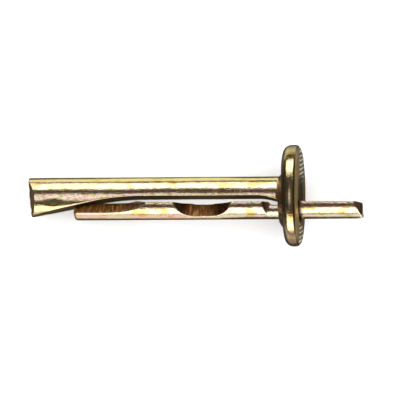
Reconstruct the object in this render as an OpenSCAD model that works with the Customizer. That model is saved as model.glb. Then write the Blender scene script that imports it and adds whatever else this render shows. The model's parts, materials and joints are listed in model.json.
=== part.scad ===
// Wedge anchor for a 6 mm hole: a forged body and the half-round pin that spreads it.
// The anchor lies at rest on the rim of its head and on its tip. Its origin is on the axis of
// the shank, in the plane of the head's seat. Inside each piece, X runs towards the head, Y
// away from the pin and Z up; the whole anchor is then pitched onto its two rests.

/* [Body] */
// Length from the tip to the outer face of the head
body_len = 40; // [30:1:60]
// Diameter of the shank and tip
body_d = 5.8; // [5:0.1:8]
// How far the shank's flat lies past its axis
flat_offset = 0.15; // [0:0.05:0.5]
// Slope of the wedge
wedge_angle = 12; // [9:0.5:15]
// Radius that blends the wedge into the flat
wedge_blend_r = 38; // [15:1:50]
// How far the sheared corner of the tip is bevelled back
tip_bevel = 0.8; // [0.3:0.1:1.5]
// Lean of that bevel, from square to the shank
tip_bevel_lean = 25; // [15:1:35]
// How far round the tip the bevel is turned, away from the pin
tip_bevel_turn = 14; // [0:1:30]

/* [Head] */
// Diameter of the head
head_d = 14.9; // [12:0.1:22]
// Thickness of the head
head_t = 2.2; // [2:0.1:4]
// How far the head's centre sits off the shank's axis
head_offset = 0.05; // [0:0.05:0.5]
// Rounding of the rim on the seat's side
seat_round = 1.1; // [0.4:0.1:1.1]
// Rounding of the rim on the outer side
face_round = 0.65; // [0.3:0.05:0.8]
// Height of the collar under the head
collar_h = 0.85; // [0.4:0.05:1.5]
// Wall of the collar around the opening, at its narrow end
collar_wall = 0.4; // [0.3:0.1:1]
// How much wider the collar's radius is at the seat
collar_flare = 1.2; // [0.5:0.1:1.5]
// Length over which the flat ramps down to the opening
ramp_len = 3.4; // [2:0.1:6]

/* [Pin] */
// Diameter of the round side of the pin
pin_d = 5.7; // [4.6:0.1:5.8]
// How far the pin's flat lies short of its own axis
pin_cut = 0.45; // [0:0.05:0.6]
// Gap between the two flats
pin_gap = 0.84; // [0.6:0.02:1.2]
// How far the pin stands out of the head
pin_stand = 9.2; // [6:0.1:12]
// Distance of the pin's tip from the body's tip
pin_tip_back = 6.8; // [4:0.1:9]
// Chamfer on the pin's tip
pin_chamfer = 0.3; // [0.1:0.05:0.5]

/* [Pressed notches] */
// Lean of the pressed faces, from square to the flat
punch_lean = 34.5; // [25:0.5:45]
// Radius at both ends of the punch
punch_r = 3.4; // [3:0.1:5]
// Width of the punch's straight middle
punch_flat = 1.8; // [1:0.1:3]
// Depth of the ridge that the pressed faces leave in the flat
ridge_depth = 0.08; // [0.02:0.02:0.2]
// Distance from the pin's tip to the middle of the notch
notch_from_tip = 19; // [15:0.5:22]
// Length of the two slanted faces on the pin's struck end
end_face_len = 1; // [0.5:0.1:2]
// Length of the straight part of the faces at the pin's tip
tip_face_len = 5; // [3:0.5:7]
// How much shallower the faces at the tip are
tip_face_rise = 0.9; // [0.3:0.1:1.2]
// Radius that blends the faces at the tip into the pin
tip_face_r = 12.5; // [8:0.5:16]

/* [Neck] */
// Distance from the seat to the shoulder of the neck
neck_back = 3.1; // [2:0.1:4]
// How far short of the head's outer face the neck ends
neck_front = 0.12; // [0.1:0.02:0.3]
// Radius of the neck's round side
neck_r = 2.05; // [1.95:0.05:2.1]
// How far the neck's flat is pressed in
neck_drop = 0.47; // [0.2:0.01:0.6]
// Radius of the neck's shoulders
neck_fillet = 0.9; // [0.9:0.1:2]

/* [Fits] */
// Clearance between the pin and the wedge
wedge_clear = 0.12; // [0.08:0.01:0.3]
// Clearance between the pin's flat and the opening
opening_flat_clear = 0.15; // [0.12:0.01:0.4]
// Clearance around the pin's round side in the opening
opening_round_clear = 0.2; // [0.15:0.05:0.4]

/* [Hidden] */
$fn = 96;
// Facets of the large circles that blend the flats
blend_fn = 360;

// How far the cutting solids reach past what they cut
over = 1;
// How far the blends and the wedge lap past what they meet, so that each crosses it cleanly
lap = 0.01;
// Longer and wider than the whole anchor
big = 3 * body_len;

body_r = body_d / 2;
shank_len = body_len - head_t;
tip_x = -shank_len;
flat_y = -flat_offset;
head_r = head_d / 2;

pin_r = pin_d / 2;
pin_flat_y = flat_y - pin_gap;
pin_axis_y = pin_flat_y + pin_cut;
pin_tip_x = tip_x + pin_tip_back;
pin_end_x = head_t + pin_stand;
opening_flat_y = pin_flat_y + opening_flat_clear;
opening_r = pin_r + opening_round_clear;
neck_axis_y = pin_flat_y - neck_drop;

// Half the width of the pin's flat, and the height of its edges over the ridge
edge_z = sqrt(pow(pin_r, 2) - pow(pin_cut, 2));
edge_height = ridge_depth * sin(punch_lean) + edge_z * cos(punch_lean);

// The anchor lies on the rim's rounding at the seat and on the lower edge of its tip.
rest_run = shank_len + seat_round;
rest_rise = head_r - seat_round - body_r;
pitch = asin(seat_round / norm([rest_run, rest_rise])) + atan2(rest_rise, rest_run);

// Height of the wedge's straight line, whose foot is at the tip
function wedge_y(x) = -body_r - lap + (x - tip_x) * tan(wedge_angle);

// Where the wedge meets the flat, and how far its blend reaches to each side
corner_x = tip_x + (body_r + lap + flat_y) / tan(wedge_angle);
blend_reach = wedge_blend_r * tan(wedge_angle / 2);

// The ramp under the head is an arc that starts level and ends at the opening's flat.
ramp_drop = flat_y + lap - opening_flat_y;
ramp_r = (pow(ramp_len, 2) + pow(ramp_drop, 2)) / (2 * ramp_drop);
ramp_x = -collar_h - ramp_len;

module posed() {
    rotate([0, -pitch, 0]) children();
}

// Outline, in X and Y, of the space on the pin's side of the shank
module pin_side_outline() {
    intersection() {
        polygon([
            [tip_x - over, -big], [tip_x - over, wedge_y(tip_x - over)],
            [corner_x, flat_y], [0, flat_y], [0, -big]
        ]);
        union() {
            translate([tip_x - over, -big])
                square([corner_x - blend_reach * cos(wedge_angle) - tip_x + over, 2 * big]);
            translate([corner_x + blend_reach, flat_y - wedge_blend_r])
                circle(r = wedge_blend_r + lap, $fn = blend_fn);
            translate([corner_x + blend_reach, -big])
                square([ramp_x - corner_x - blend_reach, 2 * big]);
            translate([ramp_x, flat_y + lap - ramp_r]) circle(r = ramp_r, $fn = blend_fn);
        }
    }
}

module pin_side() {
    translate([0, 0, -body_d]) linear_extrude(2 * body_d) pin_side_outline();
}

// Half-round opening through the collar and head, seen along X
module opening() {
    rotate([90, 0, 90])
        translate([0, 0, -collar_h - over])
            linear_extrude(collar_h + head_t + 2 * over)
                intersection() {
                    translate([pin_axis_y, 0]) circle(r = opening_r);
                    translate([opening_flat_y - 2 * opening_r, -opening_r])
                        square([2 * opening_r, 2 * opening_r]);
                }
}

// Half section of the head, turned about its own axis
module head_outline() {
    square([head_r - seat_round, head_t]);
    translate([0, seat_round]) square([head_r, head_t - seat_round - face_round]);
    translate([0, seat_round]) square([head_r - face_round, head_t - seat_round]);
    translate([head_r - seat_round, seat_round]) circle(r = seat_round);
    translate([head_r - face_round, head_t - face_round]) circle(r = face_round);
}

// The rim's seam is turned to the side, so that the rim rests on the middle of a facet.
module head() {
    translate([0, head_offset, 0]) rotate([90, 0, 90]) rotate_extrude() head_outline();
}

module collar() {
    collar_r = opening_r + collar_wall;
    translate([-collar_h, pin_axis_y, 0])
        rotate([0, 90, 0])
            cylinder(h = collar_h + over, r1 = collar_r,
                     r2 = collar_r + collar_flare * (1 + over / collar_h));
}

// Where the tip was sheared off its bar, its upper corner is broken away at a slant.
module tip_chip() {
    translate([tip_x, 0, 0])
        rotate([tip_bevel_turn, 0, 0])
            translate([tip_bevel, 0, body_r])
                rotate([0, tip_bevel_lean, 0])
                    translate([-big, -body_d, -body_d]) cube([big, 2 * body_d, 3 * body_d]);
}

module anchor_body() {
    color("goldenrod")
        posed()
            difference() {
                union() {
                    difference() {
                        translate([tip_x, 0, 0])
                            rotate([0, 90, 0]) cylinder(h = shank_len + over, r = body_r);
                        pin_side();
                        tip_chip();
                    }
                    collar();
                    head();
                }
                opening();
            }
}

// Half-round bar with its flat towards the body
module pin_bar() {
    intersection() {
        translate([pin_tip_x, pin_axis_y, 0])
            rotate([0, 90, 0]) {
                cylinder(h = pin_chamfer, r1 = pin_r - pin_chamfer, r2 = pin_r);
                translate([0, 0, pin_chamfer])
                    cylinder(h = pin_end_x - pin_tip_x - pin_chamfer, r = pin_r);
            }
        translate([pin_tip_x - over, pin_flat_y - pin_d, -pin_d])
            cube([pin_end_x - pin_tip_x + 2 * over, pin_d, 2 * pin_d]);
    }
}

// Space that the body leaves for the pin, a clearance away from the wedge
module pin_space() {
    translate([0, -wedge_clear, 0]) pin_side();
    translate([ramp_x, -big, -big]) cube([big, 2 * big, 2 * big]);
}

// The pressed faces are drawn in X and in height over the ridge, square to the face.
// This stands such an outline up on both edges of the pin's flat.
module pressed_pair() {
    for (side = [0, 1])
        mirror([0, 0, side])
            translate([0, pin_flat_y - ridge_depth, 0])
                rotate([90 - punch_lean, 0, 0])
                    linear_extrude(3 * pin_d, center = true) children();
}

module notch_outline() {
    translate([pin_tip_x + notch_from_tip, punch_r]) {
        for (side = [-1, 1]) translate([side * punch_flat / 2, 0]) circle(r = punch_r);
        square([punch_flat, 2 * punch_r], center = true);
    }
}

module tip_face_outline() {
    translate([pin_tip_x + tip_face_len, tip_face_rise]) {
        translate([-tip_face_len - over, 0]) square([tip_face_len + over, 2 * tip_face_r]);
        translate([0, tip_face_r]) circle(r = tip_face_r, $fn = blend_fn);
    }
}

module end_face_outline() {
    fall = edge_height / end_face_len;
    polygon([
        [pin_end_x - end_face_len - over, edge_height + fall * over],
        [pin_end_x + over, -fall * over],
        [pin_end_x + over, edge_height + fall * over]
    ]);
}

// Groove that the neck is pressed to: a ring around its round side, a trough in its flat
module neck_groove() {
    shoulder = sqrt(pow(neck_fillet, 2) - pow(neck_fillet + neck_r - norm([edge_z, neck_drop]), 2));
    start_x = -neck_back + shoulder;
    end_x = head_t - neck_front - shoulder;
    translate([0, neck_axis_y, 0])
        rotate([0, 90, 0])
            rotate_extrude()
                translate([neck_r + neck_fillet, 0]) {
                    translate([0, start_x]) circle(r = neck_fillet);
                    translate([0, end_x]) circle(r = neck_fillet);
                    translate([-neck_fillet, start_x]) square([2 * neck_fillet, end_x - start_x]);
                }
    translate([0, neck_axis_y, -pin_d])
        linear_extrude(2 * pin_d)
            polygon([
                [start_x, 0], [end_x, 0], [end_x + shoulder, pin_d], [start_x - shoulder, pin_d]
            ]);
}

module expansion_pin() {
    color("gold")
        posed()
            difference() {
                intersection() {
                    pin_bar();
                    pin_space();
                }
                pressed_pair() notch_outline();
                pressed_pair() tip_face_outline();
                pressed_pair() end_face_outline();
                neck_groove();
            }
}

anchor_body();
expansion_pin();
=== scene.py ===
# %% [markdown]
# # A wedge anchor in yellow plated steel
# A wedge anchor holds a strap or a bracket up against a concrete ceiling. It has two pieces: a
# forged body with a round head, and a half-round pin that is driven in through the head. The pin's
# tip rides out over the wedge at the body's tip, and the two jam in the hole.
#
# The packed model already holds both pieces at their real size. This lesson gives them the things
# that a workshop leaves on such pieces: edges that tumbling has softened, press marks, and the
# yellow film of a passivated zinc plate.

# %% Load the frame
import json
import math

import bpy
from mathutils import Matrix, Vector, noise


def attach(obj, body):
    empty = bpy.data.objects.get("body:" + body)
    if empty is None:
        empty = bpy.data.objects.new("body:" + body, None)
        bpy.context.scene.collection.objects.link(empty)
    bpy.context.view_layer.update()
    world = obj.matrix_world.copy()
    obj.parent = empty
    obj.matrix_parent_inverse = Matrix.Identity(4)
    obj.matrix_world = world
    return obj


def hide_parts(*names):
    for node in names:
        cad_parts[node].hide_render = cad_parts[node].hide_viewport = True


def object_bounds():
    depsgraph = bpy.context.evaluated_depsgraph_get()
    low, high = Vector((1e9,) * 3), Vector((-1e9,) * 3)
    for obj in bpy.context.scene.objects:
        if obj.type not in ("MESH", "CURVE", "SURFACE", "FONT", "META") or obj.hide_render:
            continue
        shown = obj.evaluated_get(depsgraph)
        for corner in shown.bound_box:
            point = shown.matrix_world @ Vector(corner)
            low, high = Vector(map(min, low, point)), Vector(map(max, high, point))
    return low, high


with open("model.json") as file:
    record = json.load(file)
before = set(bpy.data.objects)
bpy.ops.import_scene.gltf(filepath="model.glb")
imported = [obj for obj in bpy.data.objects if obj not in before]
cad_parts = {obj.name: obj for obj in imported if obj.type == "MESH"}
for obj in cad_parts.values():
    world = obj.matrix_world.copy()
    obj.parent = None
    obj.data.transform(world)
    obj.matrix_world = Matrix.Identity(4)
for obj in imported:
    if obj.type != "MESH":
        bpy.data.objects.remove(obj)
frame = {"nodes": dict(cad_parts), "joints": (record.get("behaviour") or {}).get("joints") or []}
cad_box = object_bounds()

MM = 0.001
print("CAD box in mm:", [round(v / MM, 2) for corner in cad_box for v in corner])

# %% [markdown]
# ## The anchor's own axes
# The anchor lies on its head's rim and its tip, so its shank rises a little towards the head. The
# driving joint's axis is square to the shank, and it gives that slope exactly. Everything below is
# easier to place along the shank, so one matrix carries a point from there into the scene.

# %% Axes of the shank
aside = Vector((0, 1, 0))
across = Vector(frame["joints"][0]["axis"]).normalized()
along = aside.cross(across)
shank_axes = (along, aside, across)
to_scene = Matrix(shank_axes).transposed()
to_shank = to_scene.inverted()
print("shank rises", round(math.degrees(math.asin(along.z)), 2), "degrees towards the head")


# %% [markdown]
# ## A working copy of a forged piece
# Tumbling and plating leave no sharp edge on a small forging. Bevels could round the edges one by
# one, but where blends and flats meet at odd angles they fail. So a copy is made over. Its loose
# triangles are merged into one skin first. A voxel remesh then lays an even net of small faces over
# it, which has no sharp edges, and a few passes of smoothing take the steps out.

# %% Copy, merge and round off
WELD, VOXEL = 0.001 * MM, 0.117 * MM


def select_only(piece):
    bpy.ops.object.select_all(action="DESELECT")
    piece.select_set(True)
    bpy.context.view_layer.objects.active = piece


def apply_modifier(piece, kind, **settings):
    select_only(piece)
    made = piece.modifiers.new(kind.title(), kind)
    for name, value in settings.items():
        setattr(made, name, value)
    bpy.ops.object.modifier_apply(modifier=made.name)


def tumbled_copy(node, name):
    source = frame["nodes"][node]
    piece = bpy.data.objects.new(name, source.data.copy())
    bpy.context.collection.objects.link(piece)
    piece.data.materials.clear()
    select_only(piece)
    bpy.ops.mesh.customdata_custom_splitnormals_clear()
    bpy.ops.object.mode_set(mode="EDIT")
    bpy.ops.mesh.select_all(action="SELECT")
    bpy.ops.mesh.remove_doubles(threshold=WELD)
    bpy.ops.object.mode_set(mode="OBJECT")
    apply_modifier(piece, "REMESH", mode="VOXEL", voxel_size=VOXEL)
    apply_modifier(piece, "SMOOTH", factor=0.5, iterations=5)
    select_only(piece)
    bpy.ops.object.shade_smooth()
    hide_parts(node)
    print(name, "has", len(piece.data.polygons), "faces")
    return piece


body = tumbled_copy("anchor_body", "forged_body")
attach(body, "body")
pin = tumbled_copy("expansion_pin", "pressed_pin")
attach(pin, "pin")


# %% [markdown]
# ## Marks of the workshop
# Forging, shearing and pressing leave their own shapes. A bump in the material could fake them, but
# it would leave the outline straight. So each is a small push on the net's points, written in
# millimetres in the shank's own frame: x towards the head, y away from the pin and z up.
#
# `near` is a soft window, 1 at a place and 0 beyond a given reach. `step` climbs softly from 0 to 1
# between two places. `unevenness` is a pattern of lumps, drawn out along the shank.

# %% Soft windows
def soft(part):
    return part * part * (3 - 2 * part)


def near(value, place, reach):
    return soft(max(0.0, 1 - abs(value - place) / reach))


def step(value, low, high):
    return soft(min(1.0, max(0.0, (value - low) / (high - low))))


def unevenness(place, stretch, size, depth):
    spot = Vector((place.x / stretch, place.y, place.z)) / size
    return noise.noise(spot) * depth


print("window at its place, halfway out and at its reach:", [near(v, 0, 1) for v in (0, 0.5, 1)])


# %% [markdown]
# A mark is a function that gets a point and the way that the skin faces there, and gives the push.
# All the facings are read before any point moves, because each read after a move would make Blender
# work them all out again.

# %% Push every point of a piece
def reshape(piece, push):
    count = len(piece.data.vertices)
    spots, normals = [0.0] * (3 * count), [0.0] * (3 * count)
    piece.data.vertices.foreach_get("co", spots)
    piece.data.vertices.foreach_get("normal", normals)
    farthest = 0.0
    for i in range(0, 3 * count, 3):
        place = to_shank @ Vector(spots[i:i + 3]) / MM
        moved = push(place, to_shank @ Vector(normals[i:i + 3]))
        farthest = max(farthest, moved.length)
        spots[i:i + 3] = to_scene @ (place + moved) * MM
    piece.data.vertices.foreach_set("co", spots)
    piece.data.update()
    print(piece.name, "has", count, "points, pushed by at most", round(farthest, 3), "mm")


# %% [markdown]
# ### The forged body
# The bar was sheared off at the tip, which left a slanted, torn face. A knock beside the tip made a
# shallow dent.

# %% Marks at the body's tip
TIP_X, SHANK_R = -37.8, 2.9
SLANT, TEAR, TEAR_LUMPS = 0.43, 0.05, 0.09
DENT, DENT_DEPTH = Vector((-33.9, -1.0, 2.72)), 0.07
DENT_HALF_LENGTH, DENT_HALF_WIDTH = 1.8, 0.75


def along_shank(distance):
    return Vector((distance, 0, 0))


def tip_marks(place, facing):
    tip = 1 - step(place.x, TIP_X + 0.2, TIP_X + 2.4)
    torn = tip * max(0.0, -facing.x)
    slant = SLANT * (SHANK_R - place.y) / (2 * SHANK_R)
    tear = TEAR + unevenness(place, stretch=1, size=0.5, depth=TEAR_LUMPS)
    away = place - DENT
    dent = near(math.hypot(away.x / DENT_HALF_LENGTH, away.y / DENT_HALF_WIDTH), 0, 1)
    return along_shank(tip * slant + torn * tear) - facing * DENT_DEPTH * dent


print("the shear is slanted by", SLANT, "mm and the dent is", DENT_DEPTH, "mm deep")


# %% [markdown]
# The head filled its die a little more on one side, and two faint seams show on top of its rim.
# Short raised ticks stand in two rows on its outer face.

# %% Marks on the head
HEAD_FROM_X, HEAD_FACE_X, HEAD_Y = -1.2, 2.0, 0.05
UNDERFILL, SEAM_DEPTH = 0.2, 0.045
TICK_STEP, TICK_RISE, TICK_LEAN = 0.66, 0.2, 0.2
ROWS_Y, ROWS_Z = -1.2, -0.7


def head_marks(place, facing):
    radius = math.hypot(place.y - HEAD_Y, place.z)
    turn = math.atan2(place.y - HEAD_Y, place.z)
    short = step(radius, 4.2, 5.2) * step(place.y, 0.5, 5.5) * (1 - step(place.x, 0.3, 1.5))
    seam = near(place.x, 0.62 + unevenness(place, stretch=1, size=1.7, depth=0.15), 0.2)
    seam += 0.6 * near(place.x, 1.0 + unevenness(place, stretch=1, size=2.1, depth=0.2), 0.16)
    seam *= step(radius, 6.8, 7.3) * near(turn, 0.1, 0.75)
    outer = step(facing.x, 0.8, 0.97) * step(place.x, HEAD_FACE_X - 0.1, HEAD_FACE_X + 0.1)
    tick = step(math.cos((place.y + TICK_LEAN * place.z) * 2 * math.pi / TICK_STEP), -0.2, 0.5)
    tick *= (1 - step(abs(place.z - ROWS_Z), 1.7, 2.2)) * (1 - step(radius, 6.4, 6.8))
    tick *= outer * step(abs(place.y - ROWS_Y), 2.9, 3.2)
    return along_shank(TICK_RISE * tick - UNDERFILL * short) - facing * SEAM_DEPTH * seam


def body_marks(place, facing):
    skin = unevenness(place, stretch=5, size=1.6, depth=0.022)
    skin += unevenness(place, stretch=2, size=0.45, depth=0.006) - 0.02
    moved = facing * skin + tip_marks(place, facing)
    if place.x > HEAD_FROM_X:
        moved += head_marks(place, facing)
    return moved


reshape(body, body_marks)

# %% [markdown]
# ### The pressed pin
# Pressing the faces at the pin's tip pushed some metal up beside them. The punch had fine grooves,
# which it left across those faces. Both ends were sheared.

# %% Pin marks
BURR_X, BURR_REACH, BURR_RISE = -21.7, 1.5, 0.2
GROOVES_PER_MM, GROOVE_DEPTH, GROOVE_WANDER = 21, 0.012, 3


def pin_marks(place, facing):
    skin = unevenness(place, stretch=6, size=1.2, depth=0.016)
    skin += unevenness(place, stretch=2, size=0.4, depth=0.005) - 0.015
    moved = facing * skin
    burr = near(place.x, BURR_X, BURR_REACH) * step(abs(place.z), 0.9, 1.9)
    moved.y += BURR_RISE * burr * step(facing.y, 0.2, 0.8)
    pressed = step(facing.y, 0.3, 0.5) * (1 - step(facing.y, 0.8, 0.95))
    pressed *= step(abs(facing.z), 0.3, 0.6)
    wander = unevenness(place, stretch=1, size=1, depth=GROOVE_WANDER)
    groove = 0.5 + 0.5 * math.sin(place.x * GROOVES_PER_MM + wander)
    moved -= facing * GROOVE_DEPTH * pressed * groove
    ends = step(abs(facing.x), 0.6, 0.95)
    moved -= facing * ends * (0.02 + unevenness(place, stretch=1, size=0.5, depth=0.05))
    return moved


reshape(pin, pin_marks)


# %% [markdown]
# ## Shader sums written as sums
# A node tree for metal holds a lot of small arithmetic. This class wraps a socket, so that
# `1 - mask * 0.4` builds its own Math nodes and reads like the formula that it is. A wire with no
# socket is only a place to begin: it adds nodes to its tree.

# %% A socket that can be added and multiplied
class Wire:
    def __init__(self, tree, socket=None):
        self.tree, self.socket = tree, socket

    def node(self, kind, settings=None, **inputs):
        made = self.tree.nodes.new(kind)
        for name, value in (settings or {}).items():
            setattr(made, name, value)
        for key, value in inputs.items():
            number = key[1:]
            socket = made.inputs[int(number) if number.isdigit() else key.replace("_", " ")]
            if isinstance(value, Wire):
                self.tree.links.new(value.socket, socket)
            else:
                socket.default_value = value
        return made

    def out(self, made, output=0):
        return Wire(self.tree, made.outputs[output])

    def math(self, operation, other=None):
        values = {"i0": self} if other is None else {"i0": self, "i1": other}
        return self.out(self.node("ShaderNodeMath", {"operation": operation}, **values))

    def ramp(self, low, high):
        return self.out(self.node("ShaderNodeMapRange", Value=self, i1=low, i2=high))

    def mix(self, factor, low, high):
        made = self.node("ShaderNodeMix", {"data_type": "RGBA"}, i0=factor, i6=low, i7=high)
        return self.out(made, 2)

    def dot(self, axis):
        made = self.node("ShaderNodeVectorMath", {"operation": "DOT_PRODUCT"}, i0=self, i1=axis)
        return self.out(made, "Value")

    def noise(self, x, y, z, detail):
        spot = self.out(self.node("ShaderNodeCombineXYZ", X=x, Y=y, Z=z))
        return self.out(self.node("ShaderNodeTexNoise", Vector=spot, Scale=1.0, Detail=detail))

    def __add__(self, other):
        return self.math("ADD", other)

    def __sub__(self, other):
        return self.math("SUBTRACT", other)

    def __mul__(self, other):
        return self.math("MULTIPLY", other)

    def __rsub__(self, other):
        return (self * -1.0) + other

    __radd__, __rmul__ = __add__, __mul__


print("a wire can:", ", ".join(name for name in vars(Wire) if not name.startswith("__")))


# %% [markdown]
# A material starts empty here, so that its tree holds nothing but what the lesson puts in.

# %% An empty material
def material(name, piece):
    made = bpy.data.materials.new(name)
    made.use_nodes = True
    made.node_tree.nodes.clear()
    piece.data.materials.append(made)
    print(name, "goes on", piece.name)
    return made.node_tree


# %% [markdown]
# ## The studio
# Polished metal shows its surroundings more than itself. Two long soft boxes stand beside the
# anchor, level with it, and a small one hangs overhead. Everything else up there is dark. Only
# mirrored rays see the boxes; rough surfaces get an even white light, and so does the table.
# Lamps could stand for the boxes, but each would light the table too. So they are painted in the
# world, as ramps on the way that a ray goes: how far up, to the side, and towards the head.

# %% World
BOX_LIGHT, OVERHEAD, GAP = (2.2, 2.15, 2.10, 1), (1.25, 1.12, 1.12, 1), (0.055, 0.034, 0.014, 1)
ROOM_LIGHT, WHITE = (1.75, 1.75, 1.75, 1), (1, 1, 1, 1)
BOX_TILT, BOX_BOTTOM, BOX_TOP, BOX_END = 0.08, (-0.01, 0.03), (0.66, 0.58), (0.55, 0.35)
OVERHEAD_TILT, OVERHEAD_EDGE = 0.10, (0.915, 0.94)
OVERHEAD_NEAR_END, OVERHEAD_FAR_END = (-0.14, -0.18), (-0.36, -0.30)

world = bpy.data.worlds.new("studio")
bpy.context.scene.world = world
world.use_nodes = True
sky = world.node_tree
sky.nodes.clear()
start = Wire(sky)
ray = start.node("ShaderNodeLightPath")
going = start.out(start.node("ShaderNodeTexCoord"), "Generated")
parts = start.node("ShaderNodeSeparateXYZ", i0=going)
to_end, to_side, up = (start.out(parts, name) for name in "XYZ")
tilted = up - to_side * BOX_TILT
beside = tilted.ramp(*BOX_BOTTOM) * tilted.ramp(*BOX_TOP)
beside = beside * to_end.math("ABSOLUTE").ramp(*BOX_END)
above = (up - to_side * OVERHEAD_TILT).ramp(*OVERHEAD_EDGE)
above = above * to_end.ramp(*OVERHEAD_NEAR_END) * to_end.ramp(*OVERHEAD_FAR_END)
seen = start.mix(above, start.mix(beside, GAP, BOX_LIGHT), OVERHEAD)
seen = start.mix(start.out(ray, "Is Glossy Ray"), ROOM_LIGHT, seen)
seen = start.mix(start.out(ray, "Is Camera Ray"), seen, WHITE)
back = start.node("ShaderNodeBackground", Color=seen)
start.node("ShaderNodeOutputWorld", Surface=start.out(back))
print("the studio has", len(sky.nodes), "nodes")

# %% [markdown]
# The table is a long white sheet. Close under the anchor it would be in deep shade, and a mirrored
# ray sees it so. The shade is wider under the head, and lighter in front of the head's face.

# %% Table
SHEET_HALF_LENGTH, SHEET_HALF_WIDTH = 0.4, 42 * MM
PAPER, SHADE = (0.93, 0.93, 0.93, 1), (0.06, 0.05, 0.04, 1)
SHADE_SIDE, SHADE_PAST_TIP, SHADE_PAST_HEAD = (10, 7.5), (-45, -60), (30, 45)
HEAD_WIDENS, LEAST_SHADE, LIGHTER = 5.5, 0.42, 0.7

bpy.ops.mesh.primitive_plane_add(size=2, location=(0, 0, cad_box[0].z))
floor = bpy.context.object
floor.name = "table"
floor.scale = (SHEET_HALF_LENGTH, SHEET_HALF_WIDTH, 1)
bpy.ops.object.transform_apply(location=True, rotation=True, scale=True)
start = Wire(material("white_sheet", floor))
place = start.out(start.node("ShaderNodeTexCoord"), "Object")
parts = start.node("ShaderNodeSeparateXYZ", i0=place)
x, y = (start.out(parts, name) * (1 / MM) for name in "XY")
under_head = x.ramp(-10, -5) * x.ramp(18, 12)
before_head = x.ramp(10.5, 11.5) * x.ramp(17, 14)
shade = (y.math("ABSOLUTE") - under_head * HEAD_WIDENS).ramp(*SHADE_SIDE)
shade = (shade + x.ramp(*SHADE_PAST_TIP) + x.ramp(*SHADE_PAST_HEAD)).ramp(0, 1)
shade = (shade * (1 - LEAST_SHADE) + LEAST_SHADE) * (1 - before_head * LIGHTER)
is_glossy = start.out(start.node("ShaderNodeLightPath"), "Is Glossy Ray")
paper, dark = (start.node("ShaderNodeBsdfDiffuse", Color=tone) for tone in (PAPER, SHADE))
mixed = start.node("ShaderNodeMixShader", i0=shade * is_glossy, i1=start.out(paper),
                   i2=start.out(dark))
start.node("ShaderNodeOutputMaterial", Surface=start.out(mixed))
print("the table lies at", round(cad_box[0].z / MM, 2), "mm")

# %% [markdown]
# The camera looks almost straight down on the anchor as it lies. It stands far off with a long
# lens, so that the head, which is nearer, isn't seen larger than it is.

# %% Camera
ELEVATION, AZIMUTH = math.radians(84), math.radians(0.32)
VIEW_WIDTH, DISTANCE, SENSOR = 58.4 * MM, 2, 36
AIM = Vector((-12.50 * MM, -0.65 * MM, 0))

turn = Matrix.Rotation(AZIMUTH, 4, "Z") @ Matrix.Rotation(math.pi / 2 - ELEVATION, 4, "X")
bpy.ops.object.camera_add(location=AIM + turn @ Vector((0, 0, DISTANCE)))
camera = bpy.context.object
camera.rotation_euler = turn.to_euler()
camera.data.sensor_width = SENSOR
camera.data.lens = SENSOR * DISTANCE / VIEW_WIDTH
camera.data.clip_end = 2 * DISTANCE
bpy.context.scene.camera = camera
bpy.context.scene.view_settings.view_transform = "Standard"
print("lens", round(camera.data.lens), "mm, for a view", round(VIEW_WIDTH / MM, 1), "mm wide")

# %% [markdown]
# ## Yellow passivated zinc
# The film on the zinc is a few hundred nanometres thick, so its colour drifts from straw to pink
# and green. The drift follows the shank, as the film dried along it. Pressed and torn faces took
# the film badly: they are duller and redder. A picture wrapped round the pieces would show seams,
# so the film is made of noise in the shank's own frame. A pattern has two scales, along the shank
# and round it, and a ramp's two numbers say where a mask starts and where it is full.

# %% Colours of the film
STRAW, PINK, GREEN = (0.96, 0.80, 0.36, 1), (0.96, 0.58, 0.48, 1), (0.66, 0.80, 0.30, 1)
DEEP, RUST, OLIVE = (0.72, 0.42, 0.10, 1), (0.17, 0.065, 0.04, 1), (0.20, 0.15, 0.05, 1)
LILAC_SHEEN, LEMON_SHEEN, BLUSH = (0.97, 0.83, 0.80, 1), (0.95, 0.84, 0.22, 1), (0.95, 0.76, 0.56, 1)
BRONZE, TAN = (0.19, 0.115, 0.02, 1), (0.46, 0.31, 0.12, 1)
# The soot-dark tone is both soot in streaks and painted shade on edges, openings and tick gaps.
BROWN, SOOT_AND_SHADE, PALE_HIGHLIGHT = (0.16, 0.095, 0.032, 1), (0.045, 0.035, 0.018, 1), (0.90, 0.95, 0.84, 1)
print("straw has", round(STRAW[0] / SOOT_AND_SHADE[0]), "times the red of soot")


# %% The film
SHINE, SPECKLE_DULLS = 0.09, 0.12
PATCH_SHIFT = 18
BUMP_STRENGTH, BUMP_DEPTH = 0.7, 0.02 * MM


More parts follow.
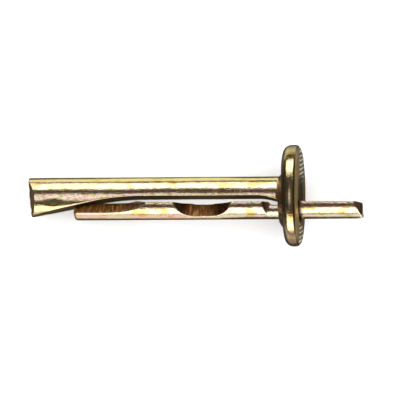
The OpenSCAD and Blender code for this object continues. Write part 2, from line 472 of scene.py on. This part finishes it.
def film(name, piece, layers, ground):
    tree = material(name, piece)
    start = Wire(tree)
    coordinates = start.node("ShaderNodeTexCoord")
    place, facing = start.out(coordinates, "Object"), start.out(coordinates, "Normal")
    x, y, z = (place.dot(axis / MM) for axis in shank_axes)
    turned = [facing.dot(axis) for axis in shank_axes]

    def pattern(lengthwise, around, detail, shift=0):
        return start.noise((x + shift) * lengthwise, y * around, z * around, detail=detail)

    drift, speckle, grain = pattern(0.16, 1.1, 5), pattern(1.6, 4.5, 5), pattern(5, 7, 3)
    patch, streak = pattern(0.5, 0.7, 3, PATCH_SHIFT), pattern(0.5, 11, 3)
    stain = (grain.ramp(0.60, 0.72) * patch.ramp(0.40, 0.60)).ramp(0, 0.8)
    tints = [
        (speckle.ramp(0.52, 0.60) * 0.9, GREEN),
        (speckle.ramp(0.43, 0.35) * 0.85, PINK),
        (patch.ramp(0.52, 0.64) * 0.8, DEEP),
        # Painted sheen: lilac on faces that look up, lemon on faces turned away from the pin.
        (turned[2].ramp(0.88, 0.97) * speckle.ramp(0.60, 0.50) * 0.75, LILAC_SHEEN),
        (turned[1].ramp(0.70, 0.84) * 0.75, LEMON_SHEEN),
        (stain * 0.85, OLIVE),
    ]
    colour = start.mix(drift.ramp(0.48, 0.58), ground, PINK)
    for mask, tone in tints:
        colour = start.mix(mask, colour, tone)
    roughness = speckle * SPECKLE_DULLS + SHINE
    for mask, tone, rougher in layers(start, x, y, z, turned):
        colour = start.mix(mask, colour, tone)
        roughness = roughness + mask * rougher

    height = grain * 0.8 + speckle * 0.9 + streak * 0.4 + drift * 0.8
    bump = start.node("ShaderNodeBump", Strength=BUMP_STRENGTH, Distance=BUMP_DEPTH, Height=height)
    metal = start.node("ShaderNodeBsdfPrincipled", Metallic=1.0, Base_Color=colour,
                       Roughness=roughness, Normal=start.out(bump))
    start.node("ShaderNodeOutputMaterial", Surface=start.out(metal))
    print(name, "has", len(tree.nodes), "nodes")


# %% [markdown]
# On top of the film each piece has its own layers. A layer is a mask, the colour that it brings and
# how much rougher it makes the metal: torn and pressed faces, dies' dull skin, streaks of soot, and
# painted shade and highlights. On the body they are the torn tip, the collar under the head, the
# shank's pressed underside, the head's two ends and its rim, painted shade on the head's rounded
# edges, the outer face in a duller tan that is partly painted shade, painted highlights on its
# ticks with painted shade between them, and painted shade round the opening for the pin.

# %% Layers of the body
OPENING_Y = -0.54


def body_layers(start, x, y, z, turned):
    head = x.ramp(-0.2, 0.1)
    torn = x.ramp(-37.1, -37.6) * turned[0].ramp(-0.4, -0.8)
    collar = x.ramp(-0.95, -0.75) * x.ramp(0.5, 0.2) * turned[0].ramp(-0.3, -0.6)
    under = turned[1].ramp(-0.8, -0.95) * x.ramp(-1.0, -1.5)
    caps = head * turned[1].math("ABSOLUTE").ramp(0.72, 0.92)
    drawn = start.noise(x * 2.6, y * 0.3, z * 0.3, detail=4)
    rim = head * z.ramp(4.5, 5.8) * y.ramp(3.6, 2.4) * y.ramp(-3.4, -2.2)
    edges = head * turned[0].math("ABSOLUTE").ramp(0.2, 0.55)
    face = turned[0].ramp(0.7, 0.9) * x.ramp(1.5, 2.0)
    from_opening = ((y - OPENING_Y) * (y - OPENING_Y) + z * z).math("SQRT")
    corner = face * from_opening.ramp(3.9, 3.2)
    rows = face * (z - ROWS_Z).math("ABSOLUTE").ramp(2.2, 1.9)
    rows = rows * (y - ROWS_Y).math("ABSOLUTE").ramp(2.8, 3.0)
    wave = ((y + z * TICK_LEAN) * (2 * math.pi / TICK_STEP)).math("COSINE")
    return [
        ((torn + collar) * 0.75, RUST, 0.16),
        (under * 0.7, OLIVE, 0.22),
        (caps * 0.88, BROWN, 0.12),
        (rim * 0.4, BROWN, 0.05),
        (rim * drawn.ramp(0.50, 0.42) * 0.8, SOOT_AND_SHADE, 0.1),
        (rim * drawn.ramp(0.54, 0.62) * 0.7, GREEN, 0.0),
        # Painted shade: the head's rounded edges are darkened.
        (edges * 0.9, SOOT_AND_SHADE, 0.12),
        # The outer face is a duller tan, partly stamped skin and partly painted shade.
        (face * 0.85, TAN, 0.2),
        (face * drawn.ramp(0.5, 0.6) * 0.3, BROWN, 0.0),
        # Painted highlight on the ticks' crests, and painted shade in the gaps between them.
        (rows * wave.ramp(-0.45, -0.1), PALE_HIGHLIGHT, 0.2),
        (rows * wave.ramp(-0.6, -0.9) * 0.8, SOOT_AND_SHADE, 0.0),
        # Painted shade round the opening where the pin comes out.
        (corner * 0.9, SOOT_AND_SHADE, 0.1),
    ]


film("body_film", body, body_layers, STRAW)


# %% [markdown]
# On the pin they are the pressed sides and sheared ends, with streaks across them, the flat that
# faces the body, painted shade on the neck's shoulder, and painted shade where the pin comes out of
# the head.

# %% Layers of the pin
def pin_layers(start, x, y, z, turned):
    sides = turned[1].ramp(0.2, 0.35) * y.ramp(-1.05, -1.2) * x.ramp(-5, -6)
    ends = turned[0].math("ABSOLUTE").ramp(0.7, 0.9)
    root = x.ramp(1.9, 2.1) * x.ramp(2.75, 2.3)
    shoulder = turned[0].ramp(0.2, 0.45) * x.ramp(-3.8, -3.5) * x.ramp(-1.2, -1.6)
    drawn = start.noise(x * 3.2, y * 0.5, z * 0.5, detail=5)
    return [
        ((sides + ends).ramp(0, 1) * 0.9, RUST, 0.15),
        (sides * x.ramp(-22, -25) * 0.7, BRONZE, 0.0),
        (sides * drawn.ramp(0.46, 0.36) * 0.8, SOOT_AND_SHADE, 0.05),
        (sides * drawn.ramp(0.54, 0.66) * 0.45, PINK, -0.05),
        (turned[1].ramp(0.9, 0.98) * 0.5, OLIVE, 0.11),
        # Painted shade on the neck's shoulder.
        (shoulder * 0.5, RUST, 0.1),
        # Painted shade where the pin comes out of the head.
        (root * 0.9, SOOT_AND_SHADE, 0.1),
    ]


film("pin_film", pin, pin_layers, BLUSH)

# %% [markdown]
# ## Staying inside the box
# The lumps of the skin are set inwards by about their own height, and what is raised stands away
# from the box's sides, so that the shown pieces stay inside the box of the exact ones.
